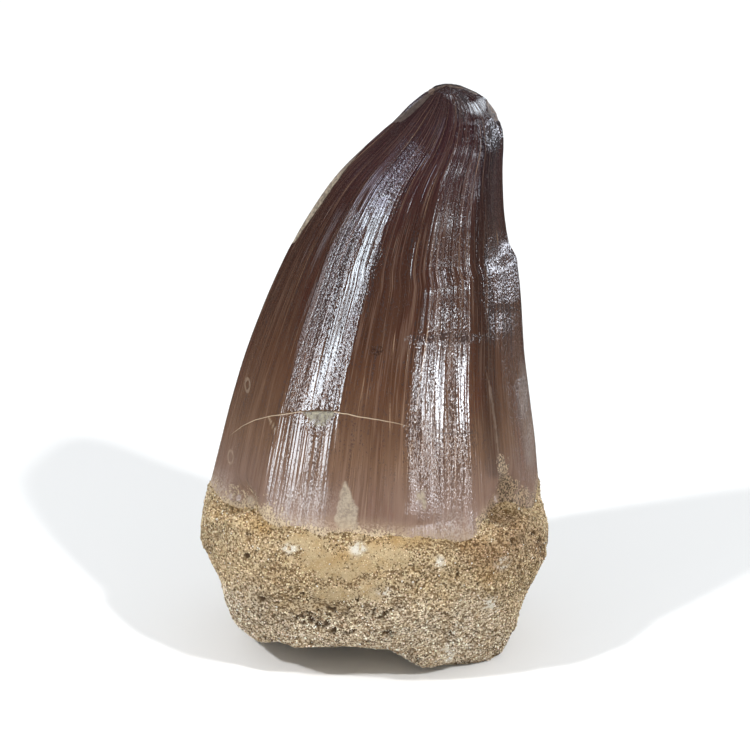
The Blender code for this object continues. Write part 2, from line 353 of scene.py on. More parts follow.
def off_path(seen, path):
    """Distance in pixels from a path of pixels."""
    x, y = seen
    nearest = np.full(x.shape, np.inf)
    for (x0, y0), (x1, y1) in zip(path, path[1:]):
        dx, dy = x1 - x0, y1 - y0
        t = np.clip(((x - x0) * dx + (y - y0) * dy) / (dx * dx + dy * dy), 0, 1)
        nearest = np.minimum(nearest, np.hypot(x - x0 - t * dx, y - y0 - t * dy))
    return nearest


def off_shape(seen, corners):
    """Distance in pixels from a closed shape, below zero inside it."""
    x, y = seen
    inside = np.zeros(x.shape, bool)
    for (x0, y0), (x1, y1) in zip(corners, corners[1:] + corners[:1]):
        crosses = (y0 > y) != (y1 > y)
        with np.errstate(divide="ignore", invalid="ignore"):
            inside ^= crosses & (x < (x1 - x0) * (y - y0) / (y1 - y0) + x0)
    distance = off_path(seen, corners + corners[:1])
    return np.where(inside, -distance, distance)


def in_patches(seen, patches, softness=0.5):
    """1 inside any oval patch, 0 outside them all, as a soft share."""
    x, y = seen
    share = np.zeros(x.shape)
    for cx, cy, rx, ry in patches:
        r = np.hypot((x - cx) / rx, (y - cy) / ry)
        share = np.maximum(share, 1 - eased(1 - softness, 1 + softness, r))
    return share


def tree_of(node):
    """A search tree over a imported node, in millimetres."""
    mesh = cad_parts[node].data
    points = [v.co / MM for v in mesh.vertices]
    return BVHTree.FromPolygons(points, [tuple(p.vertices) for p in mesh.polygons])


def set_attribute(mesh, name, values, kind="FLOAT"):
    layer = mesh.attributes.new(name, kind, "POINT")
    field = {"FLOAT": "value", "FLOAT_VECTOR": "vector", "FLOAT_COLOR": "color"}[kind]
    layer.data.foreach_set(field, np.asarray(values, np.float32).reshape(-1))


def set_colours(mesh, name, colours):
    set_attribute(mesh, name, np.column_stack([colours, np.ones(len(colours))]), "FLOAT_COLOR")


def vectors_of(items, field):
    """A vector field of a mesh's items, as an array."""
    values = np.empty(len(items) * 3, np.float32)
    items.foreach_get(field, values)
    return values.reshape(-1, 3).astype(float)


def points_of(mesh):
    return vectors_of(mesh.vertices, "co") / MM


def placed_object(name, data):
    made = bpy.data.objects.new(name, data)
    bpy.context.scene.collection.objects.link(made)
    return made


def new_piece(mesh, node, material):
    made = placed_object(mesh.name, mesh)
    mesh.materials.clear()
    mesh.materials.append(material)
    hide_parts(node)
    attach(made, "root")
    return made


# ---- the crown's shape


class CrownShape:
    """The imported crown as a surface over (angle, height), with the ripple of its facets smoothed."""

    def __init__(self, tree, top):
        self.tree = tree
        self.heights = np.arange(MEASURED_FROM, top - MEASURES_END, MEASURE_STEP)
        self.sides = np.array([self.measure_sides(h) for h in self.heights])
        self.angles = np.arange(MEASURE_COLUMNS) * TURN / MEASURE_COLUMNS
        self.reach = np.array([self.measure_reach(h) for h in self.heights])
        self.margin = self.measure_margin()
        self.smooth()
        self.margin = self.seen_margin()

    def cast(self, origin, direction):
        return self.tree.ray_cast(Vector(origin), Vector(direction))[0]

    def measure_sides(self, height):
        """Middle x, half width, y of the cutting edges, and the depths in front and behind."""
        (h0, y0), (h1, y1) = CARINA_LINE
        edge_y = y0 + (y1 - y0) * (height - h0) / (h1 - h0)
        left = self.cast((-FAR, edge_y, height), (1, 0, 0)).x
        right = self.cast((FAR, edge_y, height), (-1, 0, 0)).x
        middle = (left + right) / 2
        front = self.cast((middle, -FAR, height), (0, 1, 0)).y
        behind = self.cast((middle, FAR, height), (0, -1, 0)).y
        return middle, (right - left) / 2, edge_y, edge_y - front, behind - edge_y

    def direction(self, angle, sides):
        """From the middle out to the oval through the sides, as x and y."""
        s = np.sin(angle)
        return sides[1] * np.cos(angle), np.where(s > 0, sides[4], sides[3]) * s

    def wall(self, angle, height, sides):
        """How far out the wall lies, as a share of the oval, or nan where there is none."""
        x, y = self.direction(angle, sides)
        hit = self.cast((sides[0] + 3 * x, sides[2] + 3 * y, height), (-x, -y, 0))
        share = 0 if hit is None else math.hypot(hit.x - sides[0], hit.y - sides[2]) / math.hypot(x, y)
        return share if share > WALL_SHARE else math.nan

    def measure_reach(self, height):
        """The wall at each angle."""
        sides = self.sides_at(height)
        return [self.wall(angle, height, sides) for angle in self.angles]

    def measure_margin(self):
        """The lowest height of the wall at each angle. The wall is carried on down under it."""
        first = np.argmax(~np.isnan(self.reach), axis=0)
        for i in range(MEASURE_COLUMNS):
            known = ~np.isnan(self.reach[:, i])
            self.reach[:, i] = np.interp(self.heights, self.heights[known], self.reach[known, i])
        return np.array([self.find_margin(a, self.heights[row]) for a, row in zip(self.angles, first)])

    def find_margin(self, angle, height):
        """The height of the margin under a height at which there is a wall."""
        while height > BURIED_TO and not math.isnan(self.wall(angle, height, self.sides_at(height))):
            height -= MARGIN_STEP
        return height

    def smooth(self):
        """Smooths the wall over angles and heights."""
        count = int(3 * SMOOTH_ANGLE * MEASURE_COLUMNS / 360) + 1
        offsets = np.arange(-count, count + 1)
        weights = np.exp(-0.5 * (offsets * 360 / MEASURE_COLUMNS / SMOOTH_ANGLE) ** 2)
        self.reach = sum(w * np.roll(self.reach, k, axis=1) for k, w in zip(offsets, weights))
        self.reach /= weights.sum()
        gaps = self.heights[:, None] - self.heights[None, :]
        kernel = np.exp(-0.5 * (gaps / SMOOTH_HEIGHT) ** 2)
        kernel /= kernel.sum(axis=1, keepdims=True)
        self.reach = kernel @ self.reach

    def seen_margin(self):
        """The margin where the view shows it in front, and as measured behind."""
        heights = np.arange(BURIED_TO, 28, MARGIN_STEP)
        seen = []
        for angle in self.angles:
            x, y = pixels_of(self.points(np.full(heights.shape, angle), heights))
            seen.append(heights[np.argmax(y < np.interp(x, *zip(*MARGIN_PIXELS)))])
        front = eased(0.0, 0.3, -np.sin(self.angles))
        return self.margin * (1 - front) + np.minimum(seen, self.margin + 0.3) * front

    def side(self, column, height):
        """One of the sides at any height, carried straight on under the first measured one."""
        values = np.interp(height, self.heights, self.sides[:, column])
        slope = (self.sides[SLOPE_ROWS, column] - self.sides[0, column]) / (SLOPE_ROWS * MEASURE_STEP)
        return values + np.minimum(height - self.heights[0], 0) * slope

    def sides_at(self, height):
        return [self.side(k, height) for k in range(5)]

    def reach_at(self, angle, height):
        row = np.clip((height - self.heights[0]) / MEASURE_STEP, 0, len(self.heights) - 1.001)
        return sampled(self.reach, angle, row)

    def points(self, angle, height, outwards=0.0):
        """Points of the surface, moved outwards by some relief."""
        sides = self.sides_at(height)
        dx, dy = self.direction(angle, sides)
        share = self.reach_at(angle, height) + outwards / np.hypot(dx, dy)
        return np.stack([sides[0] + dx * share, sides[2] + dy * share, height + 0 * dx], axis=-1)

    def locate(self, points):
        """(angle, how far outside the wall) of points near the crown."""
        sides = self.sides_at(points[:, 2])
        y = points[:, 1] - sides[2]
        x = (points[:, 0] - sides[0]) / sides[1]
        y = y / np.where(y > 0, sides[4], sides[3])
        angle = np.arctan2(y, x) % TURN
        length = np.hypot(*self.direction(angle, sides))
        return angle, (np.hypot(x, y) - self.reach_at(angle, points[:, 2])) * length

    def margin_at(self, angle):
        return np.interp(angle, self.angles, self.margin, period=TURN)

    def place(self, pixel):
        """(angle, height) of the crown's point seen at a pixel."""
        hit = self.cast(CAMERA, through_pixel(*pixel))
        if hit is None:
            return None
        angle, _ = self.locate(np.array([hit]))
        return float(angle[0]), hit.z


# ---- the crown's mesh


class Crack:
    """The crack across the crown, as a height at any angle."""

    def __init__(self, shape):
        seen = sorted(place for place in map(shape.place, CRACK_PIXELS) if place)
        self.angles, self.heights = np.array(seen).T
        self.level = float(self.heights.mean())

    def height(self, angle):
        return np.interp(angle, self.angles, self.heights, period=TURN)


def ring_levels(level, top):
    """Heights of the rings before they are bent to the crack, which lies at a level."""
    levels = [BURIED_TO]
    while levels[-1] < top:
        here = levels[-1]
        step = CRACK_STEP if abs(here - level) < CRACK_REACH else RING_STEP
        if HALVED_AT[1] < here:
            step = TIP_STEP
        if here < level - CRACK_REACH < here + step:
            step = level - CRACK_REACH - here + 1e-6
        levels.append(here + step)
    return np.array(levels[:-1])


def stitched(counts):
    """Faces between rings of points, as (ring, column) corners. A ring has as many points as the
    one below it, or half as many. Columns run on past the last point where a face closes the ring."""
    faces = []
    for ring, (lower, upper) in enumerate(zip(counts, counts[1:])):
        if lower == upper:
            faces += [((ring, i), (ring, i + 1), (ring + 1, i + 1), (ring + 1, i)) for i in range(lower)]
            continue
        for i in range(upper):
            faces.append(((ring, 2 * i), (ring, 2 * i + 1), (ring + 1, i)))
            faces.append(((ring, 2 * i + 1), (ring, 2 * i + 2), (ring + 1, i + 1), (ring + 1, i)))
    return faces


class EnamelMarks:
    """What marks the enamel at points of the crown, for its relief and its shader.

    Each field becomes an attribute of the mesh. It is a share from 0 to 1, a distance in millimetres
    that is above 0 inside the mark, or what its comment says.
    """

    def __init__(self, shape, crack, angle, height, points):
        seen = x, y = pixels_of(points)
        on_front = np.sin(angle) < FRONT_REACH

        def inside(depth, where=on_front):
            return np.where(where, depth, OUTSIDE) * PIXEL

        def deepest(shapes):
            return np.max([-off_shape(seen, corners) for corners in shapes], axis=0)

        def band(path, width):
            return on_front * (1 - eased(*BAND_EDGE, off_path(seen, path) / width))

        def sharp(depth):
            return eased(-0.5, 0.5, np.where(on_front, depth, OUTSIDE))

        self.off_crack = height - crack.height(angle)  # above the crack
        self.crack = np.interp(x, *zip(*CRACK_SHOWS)) * on_front
        self.broken = np.interp(x, *zip(*BREAK_SHOWS)) * on_front
        self.flake = sharp(-off_shape(seen, FLAKE))
        self.branch = sharp(0.8 - off_path(seen, CRACK_BRANCH))
        scars = [(np.hypot((x - cx) / rx, (y - cy) / ry) - 1) * rx for cx, cy, rx, ry in SCARS]
        self.scars = np.where(on_front, np.min(scars, axis=0), -OUTSIDE)  # pixels off the outline
        self.star = inside(STAR[2] - np.hypot(x - STAR[0], y - STAR[1]))
        self.smear = inside(deepest(SMEARS))
        self.chips = inside(deepest(TIP_CHIPS))
        near_carina = np.abs(angle - math.pi) < CARINA_REACH
        self.strip = inside(EDGE_STRIP_WIDTH / 2 - off_path(seen, EDGE_STRIP), near_carina)
        film = np.max([np.minimum(-off_shape(seen, s) * PIXEL, depth) for s, depth in SAND_FILMS], axis=0)
        self.film = np.where(on_front, film, -1)
        self.ridge = inside(RIDGE_HALF_WIDTH - off_path(seen, RIDGE_LINE))
        patches = on_front * sum(more * in_patches(seen, (oval,)) for *oval, more in PITTED_PATCHES)
        bands = (more * band(path, width) for path, width, more in PITTED_BANDS)
        self.pitted = sum(bands, patches) + PITTED_ELSEWHERE
        self.dotted = np.max([more * band(path, width) for path, width, more in DOTTED_BANDS], axis=0)
        self.swell = on_front * eased(483, 500, x) * np.interp(y, *zip(*UNDULATION))  # millimetres out
        self.shaded = on_front * (1 - eased(0.5, 1.5, off_path(seen, SHADED_BAND) / SHADED_BAND_WIDTH))
        self.rightward = on_front * eased(474, 486, x)
        self.dust_and_sheen = on_front * in_patches(seen, DUST_AND_SHEEN, 0.8)
        self.above_margin = height - shape.margin_at(angle)


def crown_relief(angle, height, marks):
    """How far the enamel stands out of the plain form."""

    def ripple(seed, kind):
        *cells, high = kind
        return high * ring_noise(seed, angle, height, *cells)

    relief = ripple(SEED, FLUTES) + ripple(SEED + 1, SWELLS) + ripple(SEED + 4, STRIAE_WIDE)
    high = eased(*STRIAE_CHANGE, height)
    fine, coarse = ripple(SEED + 2, STRIAE_LOW), ripple(SEED + 3, STRIAE_HIGH)
    relief += (fine * (1 - high) + coarse * (0.4 + 0.6 * high)) * (1 - 0.7 * eased(54, 60, height))
    groove = np.exp(-((marks.off_crack / CRACK_WIDTH) ** 2))
    relief -= CRACK_DEPTH * groove * np.maximum(marks.crack, 0.25 * marks.broken)
    relief -= FLAKE_DEPTH * marks.flake
    relief -= CHIP_DEPTH * eased(-0.05, 0.15, marks.chips)
    relief -= STRIP_DEPTH * eased(-0.1, 0.1, marks.strip)
    relief += RIDGE_HEIGHT * eased(-0.05, 0.08, marks.ridge)
    relief -= TUCKED_IN * (1 - eased(-1.6, -0.7, marks.above_margin))
    return relief


def build_crown(shape, top):
    crack = Crack(shape)
    levels = ring_levels(crack.level, top - RINGS_END)
    angle = np.arange(COLUMNS) * TURN / COLUMNS
    bent = np.exp(-(((levels - crack.level) / CRACK_BEND) ** 2))
    height = levels[:, None] + (crack.height(angle) - crack.level) * bent[:, None]
    angles = np.broadcast_to(angle, height.shape)
    marks = EnamelMarks(shape, crack, angles, height, shape.points(angles, height))
    points = shape.points(angles, height, crown_relief(angles, height, marks))

    counts = [COLUMNS // 2 ** sum(h > limit for limit in HALVED_AT) for h in levels]
    starts = np.concatenate([[0], np.cumsum(counts)])
    apex = max((v.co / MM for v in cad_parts["crown"].data.vertices), key=lambda p: p.z)

    def on_mesh(grid, at_foot, at_apex):
        """A value of each grid point, as values of the mesh's points."""
        rows = [grid[ring, :: COLUMNS // count] for ring, count in enumerate(counts)]
        return np.concatenate(rows + [[at_foot], [at_apex]])

    verts = on_mesh(points, points[0].mean(axis=0), tuple(apex))
    faces, corners = [], []
    for face in stitched(counts):
        faces.append([starts[r] + c % counts[r] for r, c in face])
        corners.append([(c / counts[r], r / len(counts)) for r, c in face])
    last, pole, foot = len(counts) - 1, len(verts) - 1, len(verts) - 2
    for i in range(counts[last]):
        u, next_u = i / counts[last], (i + 1) / counts[last]
        faces.append([starts[last] + i, starts[last] + (i + 1) % counts[last], pole])
        corners.append([(u, CAP_V), (next_u, CAP_V), (u, 1.0)])
    for i in range(counts[0]):
        faces.append([(i + 1) % counts[0], i, foot])
        corners.append([((i + 1) / counts[0], 0.0), (i / counts[0], 0.0), (i / counts[0], 0.0)])

    mesh = bpy.data.meshes.new("tooth_crown")
    mesh.from_pydata((verts * MM).tolist(), [], faces)
    uv = mesh.uv_layers.new(name="OFBake")
    uv.data.foreach_set("uv", np.array([c for face in corners for c in face], np.float32).reshape(-1))
    where, high = on_mesh(angles, 0.0, 0.0), on_mesh(height, levels[0], apex.z)
    unrolled = [UNROLLED_RADIUS * np.cos(where), UNROLLED_RADIUS * np.sin(where), high]
    set_attribute(mesh, "unrolled", np.stack(unrolled, axis=-1), "FLOAT_VECTOR")
    set_attribute(mesh, "height", high)
    for name, grid in vars(marks).items():
        set_attribute(mesh, name, on_mesh(grid, grid[0, 0], grid[-1, 0]))
    mesh.shade_smooth()
    return new_piece(mesh, "crown", enamel_material())


# ---- materials


class Shader:
    """The nodes of a material or a world, made with short calls."""

    def __init__(self, owner, surface="Principled BSDF"):
        self.owner = owner
        owner.use_nodes = True
        self.nodes, self.links = owner.node_tree.nodes, owner.node_tree.links
        self.surface = self.nodes[surface]
        self.coordinates = self.node("ShaderNodeTexCoord")
        self.place = self.coordinates.outputs["Object"]

    def finished(self, inputs):
        """The owner of the nodes, once its surface is fed."""
        for name, value in inputs.items():
            self.feed(self.surface.inputs[name], value)
        return self.owner

    def node(self, kind, inputs=(), **settings):
        made = self.nodes.new(kind)
        for name, value in settings.items():
            setattr(made, name, value)
        for name, value in dict(inputs).items():
            self.feed(made.inputs[name], value)
        return made

    def feed(self, socket, value):
        if isinstance(value, bpy.types.NodeSocket):
            self.links.new(value, socket)
        elif socket.type == "RGBA" and len(value) == 3:
            socket.default_value = (*value, 1)
        else:
            socket.default_value = value

    def attribute(self, name, output="Fac"):
        return self.node("ShaderNodeAttribute", attribute_name=name).outputs[output]

    def noise(self, vector, scale, detail=2.0, roughness=0.5):
        inputs = {"Vector": vector, "Scale": scale, "Detail": detail, "Roughness": roughness}
        return self.node("ShaderNodeTexNoise", inputs).outputs["Fac"]

    def ramp(self, value, low, high, out_low=0.0, out_high=1.0, smooth=True):
        kind = "SMOOTHSTEP" if smooth else "LINEAR"
        inputs = {"Value": value, "From Min": low, "From Max": high, "To Min": out_low, "To Max": out_high}
        return self.node("ShaderNodeMapRange", inputs, interpolation_type=kind).outputs["Result"]

    def maths(self, operation, a, b=0.0):
        return self.node("ShaderNodeMath", {0: a, 1: b}, operation=operation).outputs[0]

    def plus(self, a, b):
        return self.maths("ADD", a, b)

    def times(self, a, b):
        return self.maths("MULTIPLY", a, b)

    def scaled(self, vector, factors):
        return self.node("ShaderNodeVectorMath", {0: vector, 1: factors}, operation="MULTIPLY").outputs[0]

    def mix(self, factor, a, b, blend="MIX"):
        made = self.node("ShaderNodeMix", data_type="RGBA", blend_type=blend)
        for socket, value in ((0, factor), (6, a), (7, b)):
            self.feed(made.inputs[socket], value)
        return made.outputs[2]

    def tinted(self, factor, colour, tint):
        return self.mix(factor, colour, tint, "MULTIPLY")

    def colours(self, value, stops):
        """A colour ramp over real values."""
        low, high = stops[0][0], stops[-1][0]
        made = self.node("ShaderNodeValToRGB", {"Fac": self.ramp(value, low, high, smooth=False)})
        elements = made.color_ramp.elements
        while len(elements) < len(stops):
            elements.new(0.5)
        for element, (at, colour) in zip(elements, stops):
            element.position = (at - low) / (high - low)
            element.color = (*colour, 1)
        return made.outputs["Color"]

    def bump(self, height, distance, normal=None):
        inputs = {"Height": height, "Strength": 1.0, "Distance": distance}
        if normal is not None:
            inputs["Normal"] = normal
        return self.node("ShaderNodeBump", inputs).outputs["Normal"]

    def thin_lines(self, vector, scale, width):
        """Thin lines between the cells of a pattern, as a share."""
        cells = self.node(
            "ShaderNodeTexVoronoi", {"Vector": vector, "Scale": scale}, feature="DISTANCE_TO_EDGE"
        )
        return self.ramp(cells.outputs["Distance"], 0.0, width, 1.0, 0.0)


class Enamel(Shader):
    """The enamel's nodes: the textures that its layers share, and its colour and roughness so far."""

    def __init__(self):
        super().__init__(bpy.data.materials.new("enamel"))
        self.height, self.pitted = self.attribute("height"), self.attribute("pitted")
        self.unrolled = self.attribute("unrolled", "Vector")
        self.speckle = self.noise(self.place, 3000.0, 3.0, 0.6)
        self.wobble = self.times(self.plus(self.noise(self.place, 900.0, 3.0), -0.5), 0.5)
        beads = self.scaled(self.place, (1, 1, 0.62))
        fine, coarse = self.noise(beads, 6800.0, 1.0), self.noise(beads, 5600.0, 1.0)
        self.grain = self.mix(self.ramp(self.pitted, 0.2, 0.55), fine, coarse)
        self.colour = self.rough = None

    def drawn_up(self, share, scale, *detail):
        """Noise that is drawn out up the crown."""
        return self.noise(self.scaled(self.unrolled, (1, 1, share)), scale, *detail)

    def ragged(self, name, wobble=1.0):
        """A mark's depth, with a ragged outline."""
        return self.plus(self.attribute(name), self.times(self.wobble, wobble))

    def cover(self, factor, tone, roughness):
        """Lays a tone and a roughness over the enamel by a share."""
        self.colour = self.mix(factor, self.colour, tone)
        kept = self.times(self.rough, self.maths("SUBTRACT", 1.0, factor))
        self.rough = self.plus(kept, self.times(factor, roughness))


def grow_enamel(s):
    """Colour by height, redder patches, and dark and pale growth lines that run up the crown."""
    patches = s.drawn_up(0.35, 0.22, 3.0, 0.6)
    colour = s.colours(s.plus(s.height, s.times(s.plus(patches, -0.5), 8.0)), ENAMEL)
    colour = s.tinted(s.ramp(patches, 0.55, 0.7, 0, 0.6), colour, (1.0, 0.78, 0.80))
    lines = s.drawn_up(0.05, 1.6, 4.0, 0.7)
    colour = s.tinted(s.ramp(lines, 0.40, 0.70, 0, 0.8), colour, (0.66, 0.60, 0.56))
    streaks = s.thin_lines(s.scaled(s.unrolled, (1, 1, 0.012)), 0.85, 0.010)
    streaks = s.times(streaks, s.ramp(s.drawn_up(0.25, 0.8), 0.45, 0.6, 0.10, 0.75))
    colour = s.mix(streaks, colour, (0.36, 0.24, 0.155))
    fine = s.drawn_up(0.04, 5.5, 2.0, 0.6)
    s.colour = s.mix(s.ramp(fine, 0.60, 0.75, 0, 0.22), colour, (0.36, 0.26, 0.19))


def polish_enamel(s):
    """Polish, broken up by tiny dull pits in rows that follow the striae."""
    rows = s.drawn_up(0.03, 4.0, 1.0)
    polish = s.plus(s.times(s.grain, 0.62), s.times(rows, 0.38))
    polish = s.maths("SUBTRACT", polish, s.ramp(s.pitted, -1.0, 3.0, 0.39, 0.62, smooth=False))
    s.rough = s.ramp(polish, -0.012, 0.012, 1.0, 0.08)
    dull = s.times(s.ramp(s.rough, 0.1, 1.0, smooth=False), s.ramp(s.height, 19.0, 27.0, 0.2, 1.0))
    colour = s.tinted(dull, s.colour, (0.52, 0.46, 0.42))
    colour = s.tinted(s.attribute("shaded"), colour, (0.66, 0.68, 0.74))
    s.colour = s.mix(s.ramp(rows, 0.55, 0.68, 0, 0.16), colour, (0.30, 0.20, 0.15))


def wear_enamel(s):
    """The worn edge, the chips, the scars, the star and the pale ridge."""
    worn = s.mix(s.ramp(s.speckle, 0.35, 0.65), (0.13, 0.10, 0.07), (0.33, 0.27, 0.20))
    worn = s.tinted(s.ramp(s.height, 50.0, 54.0), worn, (0.28, 0.24, 0.26))
    s.cover(s.ramp(s.ragged("strip"), -0.02, 0.06), worn, 0.6)
    chipped = s.mix(s.ramp(s.speckle, 0.4, 0.6), (0.035, 0.022, 0.016), (0.135, 0.085, 0.058))
    s.cover(s.ramp(s.ragged("chips"), -0.03, 0.05), chipped, 0.5)
    outline = s.ramp(s.maths("ABSOLUTE", s.attribute("scars")), 0.1, 0.9, 0.35, 0.0)
    s.cover(outline, (0.42, 0.32, 0.23), 0.4)
    star = s.times(s.ramp(s.ragged("star", 3.0), 0.0, 0.3), s.ramp(s.grain, 0.50, 0.58, 0.15, 0.9))
    s.cover(star, (0.022, 0.013, 0.010), 0.12)
    s.cover(s.ramp(s.ragged("ridge"), -0.05, 0.06, 0, 0.16), (0.44, 0.34, 0.26), 0.35)


def crack_enamel(s):
    """The crack, its branch, its broken part, painted dark as shade in the break, and the flake beside it.
    """
    off_crack = s.maths("ABSOLUTE", s.ragged("off_crack", 0.12))
    crack = s.times(s.ramp(off_crack, 0.015, 0.070, 0.9, 0.0), s.attribute("crack"))
    s.cover(crack, CRACK_SAND, 0.6)
    s.cover(s.times(s.attribute("branch"), 0.4), CRACK_SAND, 0.6)
    # Painted shade: the broken part of the crack is darkened as the shade in its step.
    broken = s.times(s.ramp(off_crack, 0.02, 0.10, 0.45, 0.0), s.attribute("broken"))
    s.cover(broken, (0.06, 0.045, 0.035), 0.5)
    flake = s.times(s.attribute("flake"), s.ramp(s.speckle, 0.30, 0.55, 0.55, 1.0))
    s.cover(flake, s.mix(s.ramp(s.speckle, 0.35, 0.65), (0.12, 0.10, 0.065), (0.28, 0.245, 0.165)), 0.6)


def sand_enamel(s):
    """Smears of sand, dust, pale patches that are partly dust and partly painted sheen, and films that end
    raggedly above the margin and at the right.
    """
    smeared = s.mix(s.ramp(s.speckle, 0.35, 0.6), (0.26, 0.21, 0.15), (0.45, 0.38, 0.27))
    s.cover(s.ramp(s.ragged("smear", 2.0), -0.15, 0.35, 0, 0.7), smeared, 0.7)
    grains, above = s.noise(s.place, 4600.0, 2.0, 0.6), s.attribute("above_margin")
    reach = s.ramp(s.noise(s.place, 300.0, 2.0), 0.35, 0.65, 0.35, 1.9)
    low = s.ramp(s.maths("DIVIDE", above, reach), 0.0, 1.0, 0.5, 0.0, smooth=False)
    film = s.ramp(s.ragged("film", 3.0), -0.2, 0.5, 0, 0.44)
    dust = s.times(s.ramp(above, 0.0, 2.2, 0.50, 0.0), s.ramp(grains, 0.35, 0.6, 0.4, 1.2))
    s.cover(dust, (0.44, 0.325, 0.20), 0.8)
    # Painted sheen: pale patches, partly dust, stand in for the sparkle of highlights on the enamel.
    dust_and_sheen = s.times(s.attribute("dust_and_sheen"), s.ramp(s.grain, 0.42, 0.58, 0.05, 0.36))
    s.cover(dust_and_sheen, (0.52, 0.46, 0.41), 0.6)
    covered = s.ramp(s.plus(grains, s.maths("MAXIMUM", low, film)), 0.82, 0.88)
    sandy = s.mix(s.ramp(s.grain, 0.36, 0.50), (0.17, 0.12, 0.07), (0.50, 0.385, 0.25))
    brown = s.mix(s.ramp(s.grain, 0.42, 0.56), (0.07, 0.045, 0.025), (0.38, 0.27, 0.165))
    s.cover(covered, s.mix(s.attribute("rightward"), sandy, brown), 0.85)


def enamel_normal(s):
    """The swells of the facet at the right, then the striae, the pits and the fine dots."""
    normal = s.bump(s.drawn_up(0.025, 3.0, 1.0), STRIAE_BUMP * MM, s.bump(s.attribute("swell"), MM))
    pits = s.times(s.grain, s.ramp(s.pitted, -0.9, 0.6, 0.06, 1.3))
    dots = s.times(s.ramp(s.noise(s.place, 5200.0, 1.0), 0.58, 0.70), s.attribute("dotted"))
    return s.bump(dots, DOT_BUMP * MM, s.bump(pits, GRAIN_BUMP * MM, normal))


def enamel_material():
    s = Enamel()
    for layer in (grow_enamel, polish_enamel, wear_enamel, crack_enamel, sand_enamel):
        layer(s)
    normal = enamel_normal(s)
    return s.finished({"Base Color": s.colour, "Roughness": s.rough, "IOR": ENAMEL_IOR, "Normal": normal})


def floor_material():
    s = Shader(bpy.data.materials.new("floor"))
    return s.finished({"Base Color": FLOOR_COLOUR, "Roughness": 0.9})


def sand_body_material():
    """The sand between the grains: darkened by painted shade in the gaps and pits, smooth where it is
    cemented.
    """
    s = Shader(bpy.data.materials.new("sand_body"))
    speckle = s.noise(s.place, 3600.0, 3.0, 0.6)
    tone = s.attribute("tone", "Color")
    # Painted shade: the body between the grains is darkened where the gaps lie in shade.
    gap_shade = s.tinted(1.0, tone, (0.36, 0.30, 0.24))
    cemented = s.times(s.attribute("smooth"), 0.16)
    colour = s.mix(s.ramp(s.plus(speckle, cemented), 0.46, 0.54), gap_shade, tone)
    stain = s.ramp(s.noise(s.place, 900.0, 3.0, 0.6), 0.4, 0.65, 0, 0.75)
    # Painted shade: the pits are painted with the dark grains' colour.
    colour = s.mix(s.attribute("pit"), s.tinted(stain, colour, (0.88, 0.80, 0.68)), DARK)
    normal = s.bump(speckle, 0.22 * MM)
    return s.finished({"Base Color": colour, "Roughness": 0.9, "Specular IOR Level": 0.2, "Normal": normal})


def grain_material():
    s = Shader(bpy.data.materials.new("sand_grains"))
    tone = s.attribute("tone", "Color")
    return s.finished({"Base Color": tone, "Roughness": 0.75, "Specular IOR Level": 0.25})


# ---- the matrix


class Sand:
    """Where the sand is smooth, pitted and coloured, for its body and its grains alike."""

    def __init__(self, shape):
        self.shape = shape
        self.wide = SpaceNoise(SEED + 20, 5.0)
        self.wide2 = SpaceNoise(SEED + 21, 3.0)
        self.middle = SpaceNoise(SEED + 22, 1.2)
        self.pits = SpaceNoise(SEED + 23, PIT_SIZE)
        self.fine_pits = SpaceNoise(SEED + 24, 0.35)

    def read(self, points, facing):
        """(smooth, pit, tone, depth under the margin) at points. Facing is above 0 where they are seen."""
        seen = pixels_of(points)
        front = eased(0.0, 0.3, facing)

        def placed(patches, softness=0.5):
            return front * in_patches(seen, patches, softness)

        angle, _ = self.shape.locate(points)
        below = self.shape.margin_at(angle) - points[:, 2]
        wide, middle, fine = self.wide(points), self.middle(points), self.fine_pits(points)
        band = 0.7 * (1 - eased(1.0, 4.0, below + 2.5 * self.wide2(points))) * eased(0.0, 0.5, wide)
        smooth = placed(SMOOTH_PATCHES) + (1 - front) * band
        smooth = np.clip(0.9 * smooth + (0.4 * middle + 0.3 * fine - 0.12) * (smooth > 0.02), 0, 1)
        pitted = 0.60 - 0.14 * eased(1.0, 10.0, below) + 0.08 * wide
        field = 0.62 * self.pits(points) + 0.38 * fine
        pit = eased(pitted - 0.06, pitted + 0.06, field) * (1 - eased(0.15, 0.5, smooth))
        for x, y in PIT_CLUSTER:
            r = np.hypot(seen[0] - x, seen[1] - y) * PIXEL
            pit = np.maximum(pit, front * (1 - eased(*PIT_EDGE, r + 0.12 * middle)))
        orange = placed(ORANGE_PATCHES, 0.7) + (1 - front) * band * 0.6
        grey = placed(GREY_PATCHES, 0.6) + (1 - front) * eased(3, 9, below)
        brown = placed(BROWN_PATCHES, 0.7) * 0.62
        pale = placed(PALE_SPOTS, 0.6) * eased(-0.5, 0.3, fine) * 0.8
        tone = np.tile(TAN, (len(points), 1))
        shares = (0.8 * grey, smooth, orange * (0.55 + 0.4 * middle), brown, pale)
        for share, colour in zip(shares, (GREY, YELLOW, ORANGE, BROWN, PALE)):
            share = np.clip(share, 0, 1)[:, None]
            tone = tone * (1 - share) + np.array(colour) * share
        tone = tone * (1 + 0.10 * wide + 0.08 * middle + 0.14 * placed(LIGHT_PATCHES))[:, None]
        return np.clip(smooth + pale, 0, 1), pit * (1 - pale), tone, below


def remeshed(node, voxel):
    """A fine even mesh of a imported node."""
    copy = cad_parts[node].data.copy()
    made = placed_object("remesh_source", copy)
    made.modifiers.new("weld", "WELD").merge_threshold = 1e-6
    remesh = made.modifiers.new("remesh", "REMESH")
    remesh.mode = "VOXEL"
    remesh.voxel_size = voxel * MM
    graph = bpy.context.evaluated_depsgraph_get()
    mesh = bpy.data.meshes.new_from_object(made.evaluated_get(graph))
    bpy.data.objects.remove(made)
    bpy.data.meshes.remove(copy)
    return mesh


